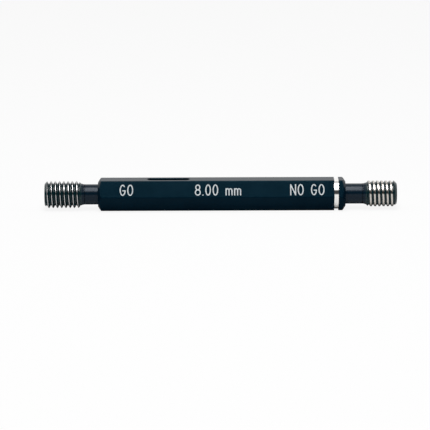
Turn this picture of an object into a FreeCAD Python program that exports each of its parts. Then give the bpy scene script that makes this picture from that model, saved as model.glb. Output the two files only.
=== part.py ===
import FreeCAD, Part
import math
import os
import re
import Sketcher

# Double-ended thread plug gauge for an M8 x 1.25 nut thread, lying on one flat of its handle.
# X runs along the gauge from the GO end (-X) to the NO GO end (+X) and Z is up. Z = 0 is the
# surface that the handle's lower flat rests on, and the origin is under the middle of the length.
# All lengths are in millimetres.

SIZES = {
    # handle: hexagonal bar, turned to a cone at both ends
    "handle_length": 72.8,
    "across_flats": 9.0,
    "edge_round": 0.35,
    "face_rim": 0.65,
    "cone_angle": 57.0,
    # bright groove turned round the handle near its NO GO end
    "ring_inset": 2.1,
    "ring_width": 1.24,
    "ring_depth": 0.08,
    # drift slot near the GO end, milled through from the top flat to the lower one
    "slot_start": 14.55,
    "slot_length": 12.4,
    "slot_width": 2.8,
    "slot_edge_break": 0.15,
    # reamed socket in each end of the handle and the member's shank that is pressed into it
    "shoulder_step": 0.5,
    "socket_spare": 1.4,
    "bore_step": 0.5,
    "drift_reach": 1.0,
    "no_go_shank_length": 12.0,
    # thread form, neck and end shapes that both members share
    "thread_pitch": 1.25,
    "flank_angle": 30.0,
    "neck_relief": 0.235,
    "flare_length": 0.9,
    "flare_rise": 0.235,
    "tip_chamfer": 0.8,
    "centre_radius": 0.85,
    "centre_angle": 60.0,
    # GO member: full thread form
    "go_major_diameter": 8.0,
    "go_crest_width": 0.16,
    "go_root_width": 0.2,
    "go_thread_length": 10.7,
    "go_neck_length": 5.0,
    # NO GO member: fewer turns, with the crests cut back to a broad land
    "no_go_major_diameter": 7.6,
    "no_go_crest_width": 0.48,
    "no_go_root_width": 0.25,
    "no_go_thread_length": 9.0,
    "no_go_neck_length": 6.1,
    # how far a cutting outline reaches past the bar that it cuts
    "cut_margin": 1.0,
}

# sizes that follow from those above
DERIVED = {
    "apothem": "across_flats / 2",
    "corner_radius": "apothem / cos(30 deg)",
    "flank_slope": "tan(flank_angle * 1 deg)",
    "go_crest_radius": "go_major_diameter / 2",
    "go_root_depth": "(thread_pitch - go_crest_width - go_root_width) / 2 / flank_slope",
    "go_root_radius": "go_crest_radius - go_root_depth",
    "no_go_crest_radius": "no_go_major_diameter / 2",
    "no_go_root_depth": "(thread_pitch - no_go_crest_width - no_go_root_width) / 2 / flank_slope",
    "no_go_root_radius": "no_go_crest_radius - no_go_root_depth",
    "neck_radius": "min(go_root_radius; no_go_root_radius) - neck_relief",
    "flare_radius": "neck_radius + flare_rise",
    "socket_radius": "neck_radius - shoulder_step",
    "bore_radius": "socket_radius - bore_step",
    "face_radius": "neck_radius + face_rim",
    "ring_radius": "apothem - ring_depth",
    "slot_end_radius": "slot_width / 2",
    "go_shank_length": "slot_start + drift_reach",
    "go_socket_depth": "go_shank_length + socket_spare",
    "no_go_socket_depth": "no_go_shank_length + socket_spare",
    "go_reach": "go_neck_length + go_thread_length",
    "no_go_reach": "no_go_neck_length + no_go_thread_length",
    "handle_start": "(go_reach - handle_length - no_go_reach) / 2",
    "handle_end": "handle_start + handle_length",
}

doc = FreeCAD.newDocument("thread_plug_gauge")


def make_sheet():
    """The spreadsheet: a named cell for each driving size and for each size that follows."""
    sheet = doc.addObject("Spreadsheet::Sheet", "Sizes")
    cells = {alias: str(value) for alias, value in SIZES.items()}
    cells.update({alias: "=" + formula for alias, formula in DERIVED.items()})
    for row, (alias, content) in enumerate(cells.items(), start=1):
        sheet.set(f"A{row}", alias)
        sheet.set(f"B{row}", content)
        sheet.setAlias(f"B{row}", alias)
    doc.recompute()
    return sheet


def on_sheet(formula):
    """The same formula with each size's bare name turned into a reference to its cell."""
    names = set(SIZES) | set(DERIVED)
    return re.sub(r"[a-z_]+", lambda word: "Sizes." * (word[0] in names) + word[0], formula)


def bind(thing, **formulas):
    """Bind properties of an object to formulas on the sheet."""
    for name, formula in formulas.items():
        thing.setExpression(name, on_sheet(formula))


def origin_feature(body, role):
    """The plane or axis of the body's own origin that has this role."""
    return next(item for item in body.Origin.OriginFeatures if item.Role == role)


def new_sketch(body, name, plane):
    sketch = body.newObject("Sketcher::SketchObject", name)
    sketch.AttachmentSupport = [(origin_feature(body, plane), "")]
    sketch.MapMode = "FlatFace"
    return sketch


def dimension(sketch, kind, geometry, formula, name):
    """A driving dimension of the sketch whose value is a formula on the sheet."""
    value = float(sketch.evalExpression(on_sheet(formula)))
    number = sketch.addConstraint(Sketcher.Constraint(kind, *geometry, value))
    sketch.renameConstraint(number, name)
    sketch.setExpression("Constraints." + name, on_sheet(formula))


def outline(body, name, plane, corners):
    """A closed sketch of straight lines. Each corner is a pair of formulas from the origin."""
    sketch = new_sketch(body, name, plane)
    places = [
        FreeCAD.Vector(*(float(sketch.evalExpression(on_sheet(formula))) for formula in corner))
        for corner in corners
    ]
    for number, place in enumerate(places):
        following = places[(number + 1) % len(places)]
        sketch.addGeometry(Part.LineSegment(place, following), False)
    for number, (along, across) in enumerate(corners):
        following = (number + 1) % len(corners)
        sketch.addConstraint(Sketcher.Constraint("Coincident", number, 2, following, 1))
        dimension(sketch, "DistanceX", (-1, 1, number, 1), along, f"along_{number}")
        dimension(sketch, "DistanceY", (-1, 1, number, 1), across, f"across_{number}")
    return sketch


def turned(body, kind, name, corners):
    """A Revolution or Groove of an outline in the XZ plane, right round the X axis."""
    sketch = outline(body, name + "_outline", "XZ_Plane", corners)
    feature = body.newObject("PartDesign::" + kind, name)
    feature.Profile = sketch
    feature.ReferenceAxis = (sketch, ["H_Axis"])
    feature.Angle = 360.0
    doc.recompute()
    return feature


def edge_names(feature, wanted):
    """The names of the feature's edges that a test on the edge picks."""
    edges = feature.Shape.Edges
    return [f"Edge{number}" for number, edge in enumerate(edges, start=1) if wanted(edge)]


def build_handle():
    """Hexagonal bar with rounded edges, coned ends, a bright ring, a stepped bore and a slot."""
    body = doc.addObject("PartDesign::Body", "handle")
    corners = [
        ("corner_radius", "0"),
        ("corner_radius / 2", "apothem"),
        ("-corner_radius / 2", "apothem"),
        ("-corner_radius", "0"),
        ("-corner_radius / 2", "-apothem"),
        ("corner_radius / 2", "-apothem"),
    ]
    bar = body.newObject("PartDesign::Pad", "bar")
    bar.Profile = outline(body, "bar_outline", "YZ_Plane", corners)
    bind(bar, Length="handle_length")
    doc.recompute()

    length = sheet.handle_length
    rounds = body.newObject("PartDesign::Fillet", "bar_edges")
    rounds.Base = (bar, edge_names(bar, lambda edge: abs(edge.BoundBox.XLength - length) < 1e-6))
    bind(rounds, Radius="edge_round")
    doc.recompute()

    cut_radius = "corner_radius + cut_margin"
    cone_reach = "(corner_radius + cut_margin - face_radius) / tan(cone_angle * 1 deg)"
    turned(body, "Groove", "go_end_cone", [
        ("0", "face_radius"),
        (cone_reach, cut_radius),
        ("0", cut_radius),
    ])
    turned(body, "Groove", "no_go_end_cone", [
        ("handle_length", "face_radius"),
        ("handle_length - " + cone_reach, cut_radius),
        ("handle_length", cut_radius),
    ])

    turned(body, "Groove", "ring", [
        ("handle_length - ring_inset - ring_width", "ring_radius"),
        ("handle_length - ring_inset", "ring_radius"),
        ("handle_length - ring_inset", cut_radius),
        ("handle_length - ring_inset - ring_width", cut_radius),
    ])

    # a reamed socket in each end, joined by a drilled bore
    turned(body, "Groove", "sockets_and_bore", [
        ("0", "0"),
        ("0", "socket_radius"),
        ("go_socket_depth", "socket_radius"),
        ("go_socket_depth", "bore_radius"),
        ("handle_length - no_go_socket_depth", "bore_radius"),
        ("handle_length - no_go_socket_depth", "socket_radius"),
        ("handle_length", "socket_radius"),
        ("handle_length", "0"),
    ])

    cut_drift_slot(body)
    return body


def cut_drift_slot(body):
    """Round-ended slot through both horizontal flats, with its edges broken."""
    sketch = new_sketch(body, "drift_slot_outline", "XY_Plane")
    radius = sheet.slot_end_radius
    near = FreeCAD.Vector(sheet.slot_start + radius, 0, 0)
    far = FreeCAD.Vector(sheet.slot_start + sheet.slot_length - radius, 0, 0)
    side = FreeCAD.Vector(0, radius, 0)
    quarter = math.pi / 2
    axis = FreeCAD.Vector(0, 0, 1)
    sketch.addGeometry(
        [
            Part.ArcOfCircle(Part.Circle(near, axis, radius), quarter, 3 * quarter),
            Part.LineSegment(near - side, far - side),
            Part.ArcOfCircle(Part.Circle(far, axis, radius), -quarter, quarter),
            Part.LineSegment(far + side, near + side),
        ],
        False,
    )
    for number in range(4):
        following = (number + 1) % 4
        sketch.addConstraint(Sketcher.Constraint("Tangent", number, 2, following, 1))
    sketch.addConstraint(Sketcher.Constraint("Equal", 0, 2))
    sketch.addConstraint(Sketcher.Constraint("PointOnObject", 0, 3, -1))
    sketch.addConstraint(Sketcher.Constraint("PointOnObject", 2, 3, -1))
    dimension(sketch, "Radius", (0,), "slot_end_radius", "end_radius")
    dimension(sketch, "DistanceX", (-1, 1, 0, 3), "slot_start + slot_end_radius", "near_end")
    far_end = "slot_start + slot_length - slot_end_radius"
    dimension(sketch, "DistanceX", (-1, 1, 2, 3), far_end, "far_end")

    slot = body.newObject("PartDesign::Pocket", "drift_slot")
    slot.Profile = sketch
    slot.SideType = "Symmetric"
    slot.Type = "ThroughAll"
    doc.recompute()

    def on_slot_rim(edge):
        box = edge.BoundBox
        flat = abs(abs(box.Center.z) - sheet.apothem) < 1e-6 and box.ZLength < 1e-6
        return flat and box.YMax < radius + 1e-6 and box.YMin > -radius - 1e-6

    rim = body.newObject("PartDesign::Chamfer", "drift_slot_rim")
    rim.Base = (slot, edge_names(slot, on_slot_rim))
    bind(rim, Size="slot_edge_break")
    doc.recompute()


def build_member(name, kind):
    """A gauging member turned and ground from one bar: shank, neck and screw thread.

    X = 0 is the handle's end face, the shank lies at -X and the thread at +X.
    """
    body = doc.addObject("PartDesign::Body", name)
    shank = f"{kind}_shank_length"
    neck_end = f"{kind}_neck_length"
    tip = f"{kind}_reach"
    crest = f"{kind}_crest_radius"
    root = f"{kind}_root_radius"
    turned(body, "Revolution", name + "_blank", [
        (f"-{shank}", "0"),
        (f"-{shank}", "socket_radius"),
        ("0", "socket_radius"),
        ("0", "neck_radius"),
        (f"{neck_end} - flare_length", "neck_radius"),
        (neck_end, "flare_radius"),
        (f"{neck_end} + {crest} - flare_radius", crest),
        (f"{tip} - tip_chamfer", crest),
        (tip, f"{crest} - tip_chamfer"),
        (tip, "centre_radius"),
        (f"{tip} - centre_radius / tan(centre_angle / 2 * 1 deg)", "0"),
    ])

    # the groove's section is a vee, opened past the crests by half a crest's width, that starts
    # one pitch clear of the tip and runs out over the neck
    middle = f"({tip} + thread_pitch)"
    mouth = f"({crest} + {kind}_crest_width / 2)"
    mouth_half = f"((thread_pitch - {kind}_crest_width * (1 - flank_slope)) / 2)"
    root_half = f"({kind}_root_width / 2)"
    vee = outline(body, name + "_vee", "XZ_Plane", [
        (f"{middle} - {root_half}", root),
        (f"{middle} + {root_half}", root),
        (f"{middle} + {mouth_half}", mouth),
        (f"{middle} - {mouth_half}", mouth),
    ])
    thread = body.newObject("PartDesign::SubtractiveHelix", name + "_thread")
    thread.Profile = vee
    thread.ReferenceAxis = (origin_feature(body, "X_Axis"), [""])
    thread.Mode = "pitch-height-angle"
    thread.Reversed = True
    thread.LeftHanded = False
    bind(thread, Pitch="thread_pitch", Height=f"{kind}_thread_length + 2 * thread_pitch")
    doc.recompute()
    return body


def check_document(bodies):
    """Stop if a feature failed, a cut removed nothing or a piece is not one valid solid."""
    for item in doc.Objects:
        if {"Invalid", "Error"} & set(item.State):
            raise RuntimeError(f"{item.Name} could not be built: {item.State}")
    for body in bodies:
        volume = 0.0
        for feature in body.Group:
            if not feature.isDerivedFrom("PartDesign::Feature"):
                continue
            adds = feature.TypeId in ("PartDesign::Pad", "PartDesign::Revolution")
            if adds == (feature.Shape.Volume < volume):
                raise RuntimeError(f"{feature.Name} does not do its work")
            volume = feature.Shape.Volume
        shape = body.Shape
        if shape.isNull() or not shape.isValid() or len(shape.Solids) != 1:
            raise RuntimeError(f"{body.Label} is not one valid solid")


sheet = make_sheet()
handle = build_handle()
bind(handle, **{"Placement.Base.x": "handle_start", "Placement.Base.z": "apothem"})

# the GO member points the other way, so it is turned half round about Z
go_member = build_member("go_member", "go")
go_member.Placement.Rotation = FreeCAD.Rotation(FreeCAD.Vector(0, 0, 1), 180)
bind(go_member, **{"Placement.Base.x": "handle_start", "Placement.Base.z": "apothem"})

no_go_member = build_member("no_go_member", "no_go")
bind(no_go_member, **{"Placement.Base.x": "handle_end", "Placement.Base.z": "apothem"})

doc.recompute()
pieces = [handle, go_member, no_go_member]
check_document(pieces)

os.makedirs("parts", exist_ok=True)
for piece in pieces:
    piece.Shape.exportStep(f"parts/{piece.Label}.step")
    print(f"{piece.Label}: volume {piece.Shape.Volume:.2f} mm3")
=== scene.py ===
import math

import bmesh
import bpy
import numpy as np
from mathutils import Matrix, Vector


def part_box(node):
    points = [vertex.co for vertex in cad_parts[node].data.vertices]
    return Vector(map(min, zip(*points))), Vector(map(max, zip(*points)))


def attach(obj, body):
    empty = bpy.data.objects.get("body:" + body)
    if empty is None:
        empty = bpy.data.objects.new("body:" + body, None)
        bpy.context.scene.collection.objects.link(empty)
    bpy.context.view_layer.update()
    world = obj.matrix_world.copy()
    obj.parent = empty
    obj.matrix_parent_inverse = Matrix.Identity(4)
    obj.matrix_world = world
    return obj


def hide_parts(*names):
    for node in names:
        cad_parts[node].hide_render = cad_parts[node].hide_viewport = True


# Looks of a double-ended thread plug gauge: blackened hexagonal handle with a bright ring and
# filled marks, a full-form GO thread at -X and a truncated NO GO thread at +X. All lengths are in
# metres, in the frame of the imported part.

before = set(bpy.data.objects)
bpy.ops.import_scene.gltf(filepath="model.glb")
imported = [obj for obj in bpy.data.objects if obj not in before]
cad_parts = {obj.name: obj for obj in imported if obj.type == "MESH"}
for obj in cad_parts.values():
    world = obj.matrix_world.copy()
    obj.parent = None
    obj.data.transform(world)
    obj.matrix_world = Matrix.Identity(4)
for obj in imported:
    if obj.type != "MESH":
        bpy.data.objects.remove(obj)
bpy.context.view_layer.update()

MM = 0.001

handle_low, handle_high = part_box("handle")
go_low, go_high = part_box("go_member")
no_go_low, no_go_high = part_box("no_go_member")

# handle, in metres from its GO end
APOTHEM = (handle_high.z - handle_low.z) / 2
AXIS = Vector((0, 0, (handle_high.z + handle_low.z) / 2))
HANDLE_LENGTH = handle_high.x - handle_low.x
EDGE_ROUND = 0.35 * MM
CONE_SLOPE = math.tan(math.radians(57))
RING_END = HANDLE_LENGTH - 2.1 * MM
RING_START = RING_END - 1.24 * MM
RING_RADIUS = APOTHEM - 0.08 * MM
SLOT_START, SLOT_LENGTH, SLOT_WIDTH = 14.55 * MM, 12.4 * MM, 2.8 * MM
SLOT_BREAK = 0.15 * MM
SOCKET_SPARE = 1.4 * MM

# members
PITCH = 1.25 * MM
FLANK_SLOPE = math.tan(math.radians(30))
GO_CREST, NO_GO_CREST = go_high.y, no_go_high.y
GO_LAND, NO_GO_LAND = 0.16 * MM, 0.48 * MM
GO_ROOT_FLAT, NO_GO_ROOT_FLAT = 0.2 * MM, 0.25 * MM
GO_ROOT = GO_CREST - (PITCH - GO_LAND - GO_ROOT_FLAT) / 2 / FLANK_SLOPE
NO_GO_ROOT = NO_GO_CREST - (PITCH - NO_GO_LAND - NO_GO_ROOT_FLAT) / 2 / FLANK_SLOPE
NECK_RELIEF, FLARE_RISE, FLARE_LENGTH = 0.235 * MM, 0.235 * MM, 0.9 * MM
NECK_RADIUS = min(GO_ROOT, NO_GO_ROOT) - NECK_RELIEF
FLARE_RADIUS = NECK_RADIUS + FLARE_RISE
GO_NECK_LENGTH, NO_GO_NECK_LENGTH = 5.0 * MM, 6.1 * MM
TIP_CHAMFER = 0.8 * MM
CENTRE_RADIUS = 0.85 * MM
SHOULDER_STEP, BORE_STEP, FACE_RIM = 0.5 * MM, 0.5 * MM, 0.65 * MM
SOCKET_RADIUS = NECK_RADIUS - SHOULDER_STEP
TURNS = np.linspace(0, 2 * math.pi, 145)


# ---------------------------------------------------------------- meshes


def skin(name, points, close_rows=False):
    """A mesh over a grid of points: quads between neighbours, with doubles merged.

    The grid is indexed [row, column, xyz]. close_rows joins the last row to the first.
    """
    if close_rows:
        points = np.concatenate([points, points[:1]])
    rows, columns = points.shape[:2]
    corner = np.arange(rows * columns).reshape(rows, columns)
    quads = np.stack([corner[:-1, :-1], corner[:-1, 1:], corner[1:, 1:], corner[1:, :-1]], -1)
    mesh = bpy.data.meshes.new(name)
    mesh.from_pydata(points.reshape(-1, 3).tolist(), [], quads.reshape(-1, 4).tolist())
    shell = bmesh.new()
    shell.from_mesh(mesh)
    bmesh.ops.remove_doubles(shell, verts=shell.verts, dist=1e-7)
    bmesh.ops.dissolve_degenerate(shell, dist=1e-8, edges=shell.edges)
    bmesh.ops.recalc_face_normals(shell, faces=shell.faces)
    shell.to_mesh(mesh)
    shell.free()
    return mesh


def piece(name, mesh, *materials, zone=None, crease=28):
    """An object for the mesh, smooth up to the crease angle, that rides on the only body.

    zone gives each face the number of its material from the face's middle, as an array.
    """
    for material in materials:
        mesh.materials.append(material)
    if zone:
        middle = np.empty(3 * len(mesh.polygons))
        mesh.polygons.foreach_get("center", middle)
        mesh.polygons.foreach_set("material_index", zone(middle.reshape(-1, 3)).astype(int))
    mesh.shade_smooth()
    mesh.set_sharp_from_angle(angle=math.radians(crease))
    made = bpy.data.objects.new(name, mesh)
    bpy.context.scene.collection.objects.link(made)
    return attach(made, "root")


def hexagon_columns():
    """Angles and radii round a hexagon with rounded edges, its flats at the top and bottom.

    Each edge is an arc of EDGE_ROUND about a centre on the edge's own direction. Each flat is
    sampled evenly, with one more column close to each arc so that shading stays flat.
    """
    close = 0.05 * MM
    centre = (APOTHEM - EDGE_ROUND) / math.cos(math.pi / 6)
    tangent = centre / 2
    swing = np.linspace(-math.pi / 6, math.pi / 6, 9)
    round_y = centre + EDGE_ROUND * np.cos(swing)
    round_z = EDGE_ROUND * np.sin(swing)
    along = np.concatenate([[close - tangent], np.linspace(-0.85, 0.85, 15) * tangent,
                            [tangent - close]])
    turn = np.arange(6)[:, None] * math.pi / 3
    round_angle = turn + np.arctan2(round_z, round_y)
    flat_angle = turn + math.pi / 6 + np.arctan2(along, APOTHEM)
    angle = np.concatenate([round_angle, flat_angle], 1).ravel()
    radius = np.concatenate([np.tile(np.hypot(round_y, round_z), (6, 1)),
                             np.tile(np.hypot(along, APOTHEM), (6, 1))], 1).ravel()
    angle = np.append(angle, angle[0] + 2 * math.pi)
    radius = np.append(radius, radius[0])
    return angle, radius


def handle_mesh():
    """Hexagonal bar: each row runs round the axis at a distance x(turn) and a radius r(turn).

    The end cones are ruled from the face's circle to where the cone meets the hexagon, which is
    at x = (hexagon radius - face radius) / slope, and the rows go back through the bore.
    """
    angle, hexagon = hexagon_columns()
    face = NECK_RADIUS + FACE_RIM
    bore = SOCKET_RADIUS - BORE_STEP
    cone = (hexagon - face) / CONE_SLOPE
    go_socket = go_high.x - handle_low.x + SOCKET_SPARE
    no_go_socket = no_go_low.x - handle_low.x - SOCKET_SPARE
    stations = [
        (0, face), (cone, hexagon),
        (RING_START, hexagon), (RING_START, RING_RADIUS),
        (RING_END, RING_RADIUS), (RING_END, hexagon),
        (HANDLE_LENGTH - cone, hexagon), (HANDLE_LENGTH, face), (HANDLE_LENGTH, SOCKET_RADIUS),
        (no_go_socket, SOCKET_RADIUS), (no_go_socket, bore),
        (go_socket, bore), (go_socket, SOCKET_RADIUS), (0, SOCKET_RADIUS),
    ]
    x = np.array([station[0] + 0 * angle for station in stations]) + handle_low.x
    r = np.array([station[1] + 0 * angle for station in stations])
    points = np.stack([x, r * np.cos(angle), AXIS.z + r * np.sin(angle)], -1)
    return skin("handle", points, close_rows=True)


def slot_cutter_mesh():
    """A round-ended bar, upright through the handle, that flares where it leaves both flats.

    A point of its outline is a circle's point, moved by half the straight length towards the
    side that it is on. The radius grows past each flat to cut the broken edge.
    """
    swing = np.linspace(0, 2 * math.pi, 65)
    half_straight = (SLOT_LENGTH - SLOT_WIDTH) / 2
    middle = handle_low.x + SLOT_START + SLOT_LENGTH / 2
    spread = 0.6 * MM
    z = np.array([-APOTHEM - spread, -APOTHEM - spread, -APOTHEM + SLOT_BREAK,
                  APOTHEM - SLOT_BREAK, APOTHEM + spread, APOTHEM + spread])
    r = SLOT_WIDTH / 2 + np.array([-SLOT_WIDTH / 2, spread + SLOT_BREAK, 0,
                                   0, spread + SLOT_BREAK, -SLOT_WIDTH / 2])
    across, along = np.cos(swing - 0.25 * math.pi), np.sin(swing - 0.25 * math.pi)
    shift = np.where(np.abs(along) < 1e-9, 0, np.sign(along)) * half_straight
    keep = np.where(r > 0, 1, 0)
    x = middle + keep[:, None] * shift + r[:, None] * along
    y = r[:, None] * across
    return skin("slot_cutter", np.stack([x, y, AXIS.z + z[:, None] + 0 * y], -1))


def cut(mesh, cutter_mesh):
    """The mesh with the cutter taken out of it."""
    whole = bpy.data.objects.new("whole", mesh)
    cutter = bpy.data.objects.new("cutter", cutter_mesh)
    for item in (whole, cutter):
        bpy.context.scene.collection.objects.link(item)
    boolean = whole.modifiers.new("cut", "BOOLEAN")
    boolean.operation, boolean.solver, boolean.object = "DIFFERENCE", "EXACT", cutter
    result = bpy.data.meshes.new_from_object(
        whole.evaluated_get(bpy.context.evaluated_depsgraph_get()))
    for item in (whole, cutter):
        bpy.data.objects.remove(item)
    return result


def member_mesh(name, shank, neck, tip, crest, root, land, root_flat, start, way):
    """A member turned about the axis, with its thread form wound round it as a right-hand helix.

    In the threaded stretch a row follows the helix: distance = row's start + PITCH * turn / 2 pi,
    held between the runout and the tip. The radius is the lesser of the turned outline at that
    distance and the thread form at that distance from the nearest groove. The plain rows before
    and after it are circles. start is the handle's face, and way is +1 or -1 along X.
    """
    turned_x = np.array([neck - FLARE_LENGTH, neck, neck + crest - FLARE_RADIUS,
                         tip - TIP_CHAMFER, tip])
    turned_r = np.array([NECK_RADIUS, FLARE_RADIUS, crest, crest, crest - TIP_CHAMFER])
    half_land, half_flat = land / 2, root_flat / 2
    worn = 0.03 * MM  # how far each crest's corner is rubbed away
    form_x = np.array([0, half_flat, PITCH / 2 - half_land - worn / 2, PITCH / 2 - half_land + worn,
                       PITCH / 2])
    form_r = np.array([root, root, crest - worn / 2 / FLANK_SLOPE, crest, crest])

    runout = neck - PITCH
    one_side = np.concatenate([np.linspace(a, b, n, endpoint=False) for a, b, n in
                               zip(form_x[:-1], form_x[1:], (2, 6, 3, 2))])
    one_groove = np.concatenate([one_side, PITCH - np.append(one_side[1:], PITCH / 2)])
    one_groove = np.sort(one_groove) / PITCH
    first, last = math.floor(runout / PITCH) - 3, math.ceil(tip / PITCH) + 3
    rows = (np.arange(first, last)[:, None] + one_groove).ravel() * PITCH
    rows = (rows + (tip % PITCH))[:, None]

    wound = np.clip(rows + PITCH * (TURNS / (2 * math.pi) - 0.25), runout, tip)
    phase = (wound - tip) / PITCH - (TURNS / (2 * math.pi) - 0.25)
    away = np.abs(phase - np.round(phase)) * PITCH
    wound_r = np.minimum(np.interp(away, form_x, form_r), np.interp(wound, turned_x, turned_r))

    before_x = np.array([-shank, -shank, 0, 0, neck - FLARE_LENGTH])
    before_r = np.array([0, SOCKET_RADIUS, SOCKET_RADIUS, NECK_RADIUS, NECK_RADIUS])
    after_x = np.array([tip, tip - CENTRE_RADIUS / FLANK_SLOPE])
    after_r = np.array([CENTRE_RADIUS, 0])
    ring = np.ones_like(TURNS)
    x = np.concatenate([before_x[:, None] * ring, wound, after_x[:, None] * ring])
    r = np.concatenate([before_r[:, None] * ring, wound_r, after_r[:, None] * ring])
    points = np.stack([start + way * x, way * r * np.cos(TURNS), AXIS.z + r * np.sin(TURNS)], -1)
    return skin(name, points)


# ---------------------------------------------------------------- marks

# a letter is a list of strokes in a cell one unit high, and a stroke is a row of points
LETTER_WIDTH, HUMP_WIDTH, SPACE_WIDTH, LETTER_GAP = 0.46, 0.14, 0.3, 0.25


def bow(centre_x, centre_y, radius_x, radius_y, start, end):
    """Points of an ellipse from one angle to another, in degrees."""
    swing = np.radians(np.linspace(start, end, 1 + int(abs(end - start) / 9)))
    return np.stack([centre_x + radius_x * np.cos(swing), centre_y + radius_y * np.sin(swing)], -1)


def letters():
    """The strokes of each letter that the marks use."""
    half, hump = LETTER_WIDTH / 2, HUMP_WIDTH
    return {
        "G": [bow(half, 0.5, half, 0.5, 48, 354),
              np.array([[LETTER_WIDTH, 0.45], [half + 0.02, 0.45]])],
        "O": [bow(half, 0.5, half, 0.5, 90, 450)],
        "N": [np.array([[0, 0], [0, 1]]), np.array([[0, 1], [LETTER_WIDTH, 0]]),
              np.array([[LETTER_WIDTH, 0], [LETTER_WIDTH, 1]])],
        "0": [bow(half, 0.5, half * 0.92, 0.5, 90, 450)],
        "8": [bow(half, 0.76, half * 0.82, 0.24, -90, 270), bow(half, 0.26, half, 0.26, 90, 450)],
        ".": [np.array([[0, 0], [0.01, 0]])],
        "m": [np.array([[0, 0], [0, 0.62]]),
              np.concatenate([bow(hump, 0.42, hump, 0.2, 180, 0), [[2 * hump, 0]]]),
              np.concatenate([bow(3 * hump, 0.42, hump, 0.2, 180, 0), [[4 * hump, 0]]])],
    }


def bead(path, half_width, height):
    """A raised stroke: a half-ellipse carried along the path, square to it, with round ends.

    Towards each end the width and height shrink as cos(a) while the section moves out along the
    path by half_width * sin(a), so the ends are quarter spheres.
    """
    ahead = np.gradient(path, axis=0)
    ahead /= np.linalg.norm(ahead, axis=1)[:, None]
    swing = np.linspace(0, math.pi / 2, 6)[1:]
    spine = np.concatenate([path[0] - half_width * np.sin(swing[::-1, None]) * ahead[0], path,
                            path[-1] + half_width * np.sin(swing[:, None]) * ahead[-1]])
    heading = np.concatenate([np.tile(ahead[0], (5, 1)), ahead, np.tile(ahead[-1], (5, 1))])
    scale = np.concatenate([np.cos(swing[::-1]), np.ones(len(path)), np.cos(swing)])[:, None]
    around = np.linspace(0, math.pi, 9)
    side = scale * half_width * np.cos(around)
    x = spine[:, :1] - heading[:, 1:] * side
    y = spine[:, 1:] + heading[:, :1] * side
    return np.stack([x, y, scale * height * np.sin(around)], -1)


def mark(name, text, centre, material):
    """Filled letters along the upper front flat, with their middle at centre along X."""
    height, stroke, rise, lowered = 3.1 * MM, 0.34 * MM, 0.02 * MM, 0.21 * MM
    shapes = letters()
    widths = [max(path[:, 0].max() for path in shapes[letter]) if letter in shapes
              else SPACE_WIDTH for letter in text]
    # the flat's own directions: along X, up the slope, and out of it
    up = np.array([0, math.sin(math.radians(30)), math.cos(math.radians(30))])
    out = np.array([0, -math.cos(math.radians(30)), math.sin(math.radians(30))])
    middle = np.array(AXIS) + out * APOTHEM - up * (lowered + height / 2)
    mesh = bmesh.new()
    pen = centre - (sum(widths) + LETTER_GAP * (len(text) - 1)) / 2 * height
    for letter, width in zip(text, widths):
        for path in shapes.get(letter, []):
            raised = bead(path * height, stroke / 2, rise)
            points = (middle + (pen + raised[..., :1]) * [1, 0, 0]
                      + raised[..., 1:2] * up + raised[..., 2:] * out)
            mesh.from_mesh(skin(name, points))
        pen += (width + LETTER_GAP) * height
    joined = bpy.data.meshes.new(name)
    mesh.to_mesh(joined)
    mesh.free()
    made = piece(name, joined, material, crease=60)
    return made


# ---------------------------------------------------------------- materials


class Val:
    """A socket in a node tree that Python's operators work on."""

    def __init__(self, shader, socket):
        self.shader, self.socket = shader, socket

    def math(self, operation, *others, **settings):
        return self.shader.node("ShaderNodeMath", {"operation": operation, **settings},
                                dict(enumerate([self, *others])))

    def __add__(self, other):
        return self.math("ADD", other)

    def __sub__(self, other):
        return self.math("SUBTRACT", other)

    def __rsub__(self, other):
        return self.shader.node("ShaderNodeMath", {"operation": "SUBTRACT"}, {0: other, 1: self})

    def __mul__(self, other):
        return self.math("MULTIPLY", other)

    def __pow__(self, other):
        return self.math("POWER", other)

    __radd__, __rmul__ = __add__, __mul__

    def over(self, low, high):
        """0 below low, 1 above high and a smooth rise between them."""
        return self.shader.node("ShaderNodeMapRange", {"interpolation_type": "SMOOTHSTEP"},
                                {"Value": self, "From Min": low, "From Max": high})


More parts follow.
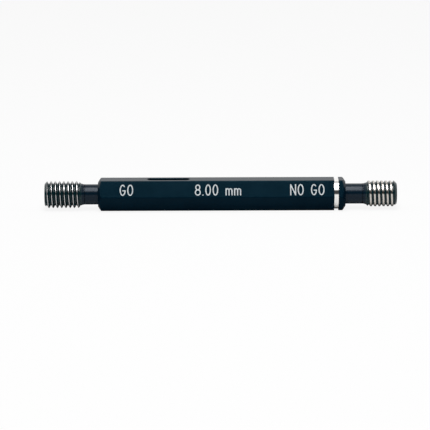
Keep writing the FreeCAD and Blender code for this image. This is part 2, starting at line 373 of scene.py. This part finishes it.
class Shader:
    """A material or world whose nodes are added by name, with settings and inputs."""

    def __init__(self, owner):
        owner.use_nodes = True
        self.tree = owner.node_tree
        self.tree.nodes.clear()

    def node(self, kind, settings=None, inputs=None, output=0):
        """A new node's output as a Val, or None where the node has no outputs."""
        made = self.tree.nodes.new(kind)
        for key, value in (settings or {}).items():
            setattr(made, key, value)
        for key, value in (inputs or {}).items():
            if isinstance(value, Val):
                self.tree.links.new(value.socket, made.inputs[key])
            else:
                made.inputs[key].default_value = value
        return Val(self, made.outputs[output]) if made.outputs else None

    def place(self):
        """The point in the object's own coordinates, which are the part's."""
        return self.node("ShaderNodeTexCoord", output="Object")

    def parts(self, vector):
        """The x, y and z of a vector."""
        first = self.node("ShaderNodeSeparateXYZ", inputs={0: vector})
        return [Val(self, socket) for socket in first.socket.node.outputs]

    def noise(self, vector, scale, detail=3, stretch=(1, 1, 1)):
        """Noise from 0 to 1. A low number in stretch draws it out along that axis."""
        stretched = self.node("ShaderNodeMapping", inputs={"Vector": vector, "Scale": stretch})
        return self.node("ShaderNodeTexNoise", inputs={"Vector": stretched, "Scale": scale,
                                                       "Detail": detail})

    def blend(self, factor, first, second):
        """A colour between two colours."""
        mixed = self.node("ShaderNodeMix", {"data_type": "RGBA"}, output=2)
        inputs = mixed.socket.node.inputs
        for socket, value in ((inputs[0], factor), (inputs[6], first), (inputs[7], second)):
            if isinstance(value, Val):
                self.tree.links.new(value.socket, socket)
            else:
                socket.default_value = value
        return mixed

    def finish(self, **inputs):
        """End the material in one surface with these inputs, named with underscores."""
        shown = {key.replace("_", " "): value for key, value in inputs.items()}
        surface = self.node("ShaderNodeBsdfPrincipled", inputs=shown)
        self.node("ShaderNodeOutputMaterial", inputs={0: surface})


def colour(red, green, blue):
    return (red, green, blue, 1)


def new_shader(name):
    material = bpy.data.materials.new(name)
    return material, Shader(material)


def black_oxide(name, lines_scale, gloss, tint, roughness):
    """Black oxide over ground steel: nearly black, a little blue, glossy only at a slant."""
    material, s = new_shader(name)
    place = s.place()
    lines = s.noise(place, lines_scale, 4, (0.02, 1, 1))
    cloud = s.noise(place, 160, 4)
    tone = s.blend(cloud.over(0.3, 0.7), colour(0.0003, 0.0080, 0.0175),
                   colour(0.0008, 0.0105, 0.0215))
    rough = roughness + 0.07 * (lines - 0.5) + 0.08 * (cloud - 0.5)
    bump = s.node("ShaderNodeBump",
                  inputs={"Height": lines, "Strength": 0.06, "Distance": 0.01 * MM})
    s.finish(Base_Color=tone, Roughness=rough, Normal=bump,
             Specular_IOR_Level=gloss, Specular_Tint=tint)
    return material


def bare_ring():
    """Steel laid bare where the ring is turned, with fine turning marks round the axis."""
    material, s = new_shader("bare_steel")
    marks = s.noise(s.place(), 3000, 3, (1, 0.02, 0.02))
    tone = s.blend(marks, colour(0.88, 0.87, 0.84), colour(0.96, 0.95, 0.93))
    s.finish(Base_Color=tone, Metallic=1.0, Roughness=0.07 + 0.04 * marks)
    return material


def thread_steel(name, crest, crest_tone):
    """Hardened steel thread: bright metal at the crest's radius, and near-black flanks and roots.
    In the roots the black is oxide; on the ground steel flanks it is painted shade.
    """
    material, s = new_shader(name)
    place = s.place()
    x, y, z = s.parts(place)
    out = (y * y + (z - AXIS.z) ** 2) ** 0.5
    land = out.over(crest - 0.05 * MM, crest - 0.02 * MM)
    streaks = s.noise(place, 900, 4, (4, 1, 1))
    # the dark colour under the crest is black oxide in the roots, and painted shade on the flanks
    # for the shade between the turns
    tone = s.blend(land, colour(0.002, 0.021, 0.027), crest_tone)
    rough = 0.16 - 0.06 * land + 0.06 * (streaks - 0.5)
    s.finish(Base_Color=tone, Metallic=land, Roughness=rough, Specular_IOR_Level=0.35)
    return material


def mark_finish():
    """Matt white filler, a little uneven."""
    material, s = new_shader("mark_filler")
    cloud = s.noise(s.place(), 1500, 3)
    tone = s.blend(cloud.over(0.35, 0.75), colour(0.66, 0.70, 0.72), colour(0.52, 0.57, 0.60))
    s.finish(Base_Color=tone, Roughness=0.55 + 0.2 * (cloud - 0.5))
    return material


# ---------------------------------------------------------------- studio


def seen(s):
    """Two values: 1 for camera rays, and 1 for camera, mirror and through rays."""
    path = s.node("ShaderNodeLightPath").socket.node.outputs
    camera, glossy, through = (Val(s, path[key]) for key in
                               ("Is Camera Ray", "Is Glossy Ray", "Is Transmission Ray"))
    return camera, camera.math("MAXIMUM", glossy).math("MAXIMUM", through)


def white_floor():
    """A pale sheet that camera rays see as nearly plain white, with a faint shadow."""
    sheet = bpy.data.meshes.new("floor")
    reach = 4.0
    sheet.from_pydata(
        [(-reach, -reach, 0), (reach, -reach, 0), (reach, reach, 0), (-reach, reach, 0)],
        [], [(0, 1, 2, 3)])
    material, s = new_shader("floor_white")
    lit = s.node("ShaderNodeBsdfDiffuse", inputs={"Color": colour(0.93, 0.93, 0.93)})
    glow = s.node("ShaderNodeEmission", inputs={"Strength": 1.0})
    camera, shown = seen(s)
    mixed = s.node("ShaderNodeMixShader", inputs={0: camera * 0.88, 1: lit, 2: glow})
    s.node("ShaderNodeOutputMaterial", inputs={0: mixed})
    sheet.materials.append(material)
    made = bpy.data.objects.new("floor", sheet)
    bpy.context.scene.collection.objects.link(made)


def white_world():
    """White surroundings with two soft dark bands along X for mirror and diffuse rays.

    One is broad and low in front, the other narrow and high behind. Each is given by its angle
    above the front and half its width, in degrees.
    """
    world = bpy.data.worlds.new("studio")
    bpy.context.scene.world = world
    s = Shader(world)
    way = s.node("ShaderNodeTexCoord", output="Generated")
    x, y, z = s.parts(way)
    rise = z.math("ARCTAN2", y * -1)
    camera, shown = seen(s)
    dark = 0
    for angle, half in ((22, 16), (113, 4)):
        off = (rise - math.radians(angle)).math("ABSOLUTE")
        dark = (1 - off.over(math.radians(half * 0.6), math.radians(half * 1.4))) + dark
    level = camera + (1 - camera) * (1 - 0.95 * dark) * (shown + (1 - shown) * 0.4)
    backdrop = s.node("ShaderNodeBackground", inputs={"Color": colour(1, 1, 1), "Strength": level})
    s.node("ShaderNodeOutputWorld", inputs={0: backdrop})


def strip_lamp(name, rise, distance, length, width, power):
    """A long soft box parallel to the gauge, at an angle of rise above the front."""
    lamp = bpy.data.lights.new(name, "AREA")
    lamp.shape, lamp.size, lamp.size_y = "RECTANGLE", length, width
    lamp.energy = power
    made = bpy.data.objects.new(name, lamp)
    towards = Vector((0, -math.cos(math.radians(rise)), math.sin(math.radians(rise))))
    made.location = AXIS + distance * towards
    made.rotation_euler = towards.to_track_quat("Z", "X").to_euler()
    bpy.context.scene.collection.objects.link(made)


def look():
    """A long lens in front of the gauge, a little above it."""
    rise, tilt = math.radians(12.9), math.radians(-0.2)
    distance, right_shift, up_shift = 880 * MM, -1.7 * MM, -6.21 * MM
    camera = bpy.data.cameras.new("camera")
    camera.lens, camera.sensor_width = 250, 36
    camera.clip_start, camera.clip_end = 0.01, 50
    made = bpy.data.objects.new("camera", camera)
    bpy.context.scene.collection.objects.link(made)
    back = Vector((0, -math.cos(rise), math.sin(rise)))
    up = Vector((0, math.sin(rise), math.cos(rise)))
    target = AXIS + Vector((right_shift, 0, 0)) + up * up_shift
    roll = Matrix.Rotation(tilt, 3, back)
    right = roll @ Vector((1, 0, 0))
    made.matrix_world = Matrix.Translation(target + back * distance) @ Matrix(
        (right, roll @ up, back)).transposed().to_4x4()
    bpy.context.scene.camera = made


# ---------------------------------------------------------------- the gauge


def on_ring(middle):
    """1 on the floor and walls of the turned ring, 0 elsewhere."""
    beside, below = 0.01 * MM, 0.05 * MM
    x = middle[:, 0] - handle_low.x
    out = np.hypot(middle[:, 1], middle[:, 2] - AXIS.z)
    inside = (x > RING_START - beside) & (x < RING_END + beside)
    return inside & (out > RING_RADIUS - below)


handle_oxide = black_oxide("handle_oxide", 2600, 0.05, colour(0.3, 0.8, 1.0), 0.16)
handle = piece("handle_bar", cut(handle_mesh(), slot_cutter_mesh()),
               handle_oxide, bare_ring(), zone=on_ring)
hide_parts("handle")

# each member's second material starts a little way down its flare
ZONE_STEP = 0.2 * MM
neck_oxide = black_oxide("neck_oxide", 3200, 0.22, colour(0.85, 0.9, 1.0), 0.22)
go_thread = piece("go_gauge", member_mesh(
    "go_gauge", go_high.x - handle_low.x, GO_NECK_LENGTH, handle_low.x - go_low.x, GO_CREST,
    GO_ROOT, GO_LAND, GO_ROOT_FLAT, handle_low.x, -1),
    neck_oxide, thread_steel("go_steel", GO_CREST, colour(0.55, 0.54, 0.54)),
    zone=lambda middle: middle[:, 0] < handle_low.x - GO_NECK_LENGTH + ZONE_STEP)
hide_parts("go_member")

no_go_thread = piece("no_go_gauge", member_mesh(
    "no_go_gauge", handle_high.x - no_go_low.x, NO_GO_NECK_LENGTH, no_go_high.x - handle_high.x,
    NO_GO_CREST, NO_GO_ROOT, NO_GO_LAND, NO_GO_ROOT_FLAT, handle_high.x, 1),
    neck_oxide, thread_steel("no_go_steel", NO_GO_CREST, colour(0.60, 0.57, 0.53)),
    zone=lambda middle: middle[:, 0] > handle_high.x + NO_GO_NECK_LENGTH - ZONE_STEP)
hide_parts("no_go_member")

filler = mark_finish()
mark("mark_go", "GO", -27.65 * MM, filler)
mark("mark_size", "8.00 mm", -0.8 * MM, filler)
mark("mark_no_go", "NO GO", 25.4 * MM, filler)

white_floor()
white_world()
strip_lamp("front_strip", 72, 600 * MM, 500 * MM, 160 * MM, 2.5)
look()

scene = bpy.context.scene
scene.view_settings.view_transform = "Standard"
